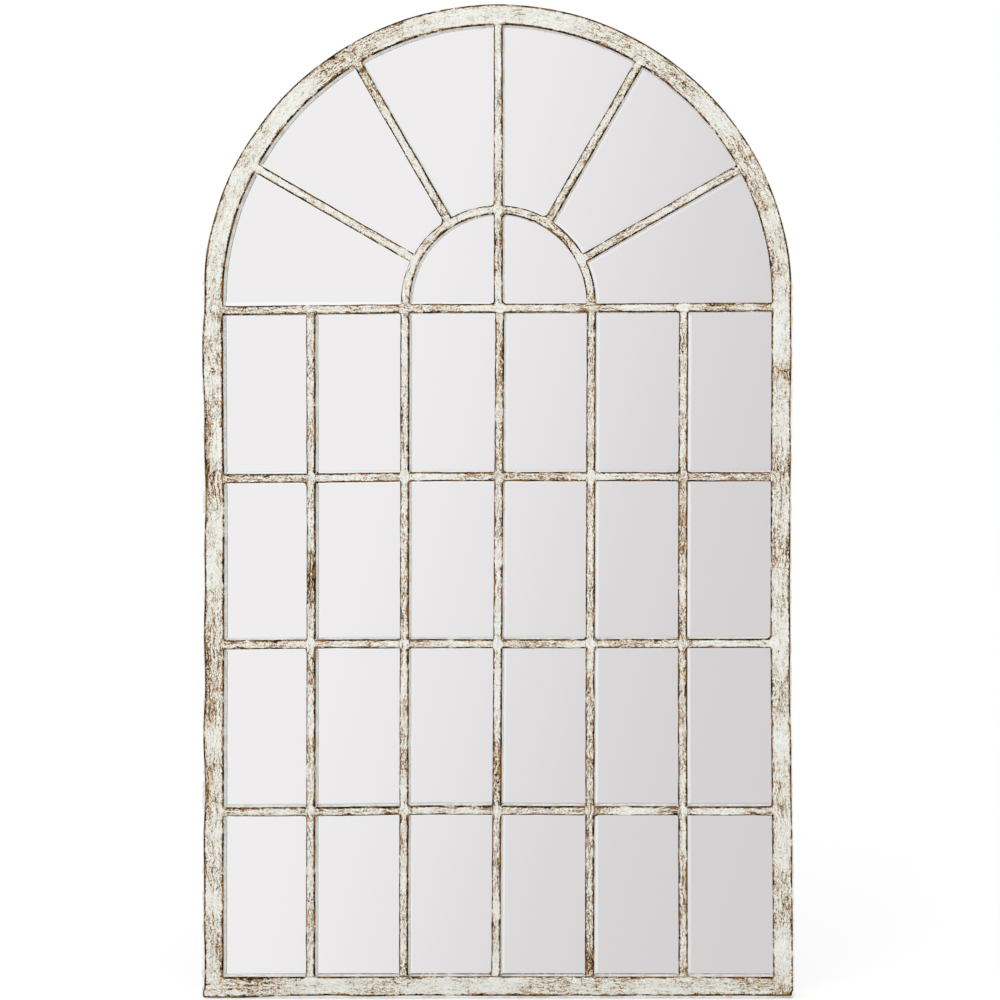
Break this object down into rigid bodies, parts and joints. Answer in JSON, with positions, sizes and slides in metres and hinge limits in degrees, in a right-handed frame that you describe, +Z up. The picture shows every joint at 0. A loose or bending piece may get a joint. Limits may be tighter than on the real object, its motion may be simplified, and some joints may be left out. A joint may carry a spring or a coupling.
{
  "type": "wall mirror",
  "caption": "Arched window-style wall mirror: welded iron bars in distressed ivory paint over separate bevelled mirror panes, with a fan in the arch and ring hangers behind.",
  "frame": {"origin": "on the wall plane, at the centre of the arch's curve, level with and midway between the two wall hooks", "axes": "+Z up, +X to the right seen from the front, +Y into the wall; the front faces -Y"},
  "size_m": [0.83, 0.0315, 1.3999],
  "materials": {
    "ivory_paint": "thick distressed ivory paint over brown glaze, matt to satin",
    "brown_paint": "plain brown primer",
    "mirror_glass": "silvered glass, bevelled all round",
    "hardboard": "smooth brown hardboard",
    "zinc_steel": "zinc plated",
    "rubber": "matt black rubber"
  },
  "bodies": {
    "mirror": {"arch_bar": "ivory_paint", "left_stile": "ivory_paint", "right_stile": "ivory_paint", "bottom_rail": "ivory_paint", "transom": "ivory_paint", "mullion_1": "ivory_paint", "mullion_2": "ivory_paint", "mullion_3": "ivory_paint", "mullion_4": "ivory_paint", "mullion_5": "ivory_paint", "crossbars_row_1": "ivory_paint", "crossbars_row_2": "ivory_paint", "crossbars_row_3": "ivory_paint", "hub_ring": "ivory_paint", "centre_bar": "ivory_paint", "fan_ray_1": "ivory_paint", "fan_ray_2": "ivory_paint", "fan_ray_3": "ivory_paint", "fan_ray_4": "ivory_paint", "weld_fillets": "ivory_paint", "fixing_lugs": "brown_paint", "hanger_brackets": "brown_paint", "pane_row1_column1": "mirror_glass", "pane_row1_column2": "mirror_glass", "pane_row1_column3": "mirror_glass", "pane_row1_column4": "mirror_glass", "pane_row1_column5": "mirror_glass", "pane_row1_column6": "mirror_glass", "pane_row2_column1": "mirror_glass", "pane_row2_column2": "mirror_glass", "pane_row2_column3": "mirror_glass", "pane_row2_column4": "mirror_glass", "pane_row2_column5": "mirror_glass", "pane_row2_column6": "mirror_glass", "pane_row3_column1": "mirror_glass", "pane_row3_column2": "mirror_glass", "pane_row3_column3": "mirror_glass", "pane_row3_column4": "mirror_glass", "pane_row3_column5": "mirror_glass", "pane_row3_column6": "mirror_glass", "pane_row4_column1": "mirror_glass", "pane_row4_column2": "mirror_glass", "pane_row4_column3": "mirror_glass", "pane_row4_column4": "mirror_glass", "pane_row4_column5": "mirror_glass", "pane_row4_column6": "mirror_glass", "fan_pane_1": "mirror_glass", "fan_pane_2": "mirror_glass", "fan_pane_3": "mirror_glass", "fan_pane_4": "mirror_glass", "fan_pane_5": "mirror_glass", "fan_pane_6": "mirror_glass", "hub_pane_right": "mirror_glass", "hub_pane_left": "mirror_glass", "backboard": "hardboard", "board_screws": "zinc_steel", "hanger_straps": "zinc_steel", "wall_bumpers": "rubber"},
    "left_ring": {"left_d_ring": "zinc_steel"},
    "right_ring": {"right_d_ring": "zinc_steel"}
  },
  "joints": [
    {"name": "left_ring_swing", "type": "hinge", "parent": "mirror", "child": "left_ring", "pos_m": [-0.38, -0.0084, -0.032], "axis": [1, 0, 0], "range_deg": [-4, 180]},
    {"name": "right_ring_swing", "type": "hinge", "parent": "mirror", "child": "right_ring", "pos_m": [0.38, -0.0084, -0.032], "axis": [1, 0, 0], "range_deg": [-4, 180]}
  ]
}
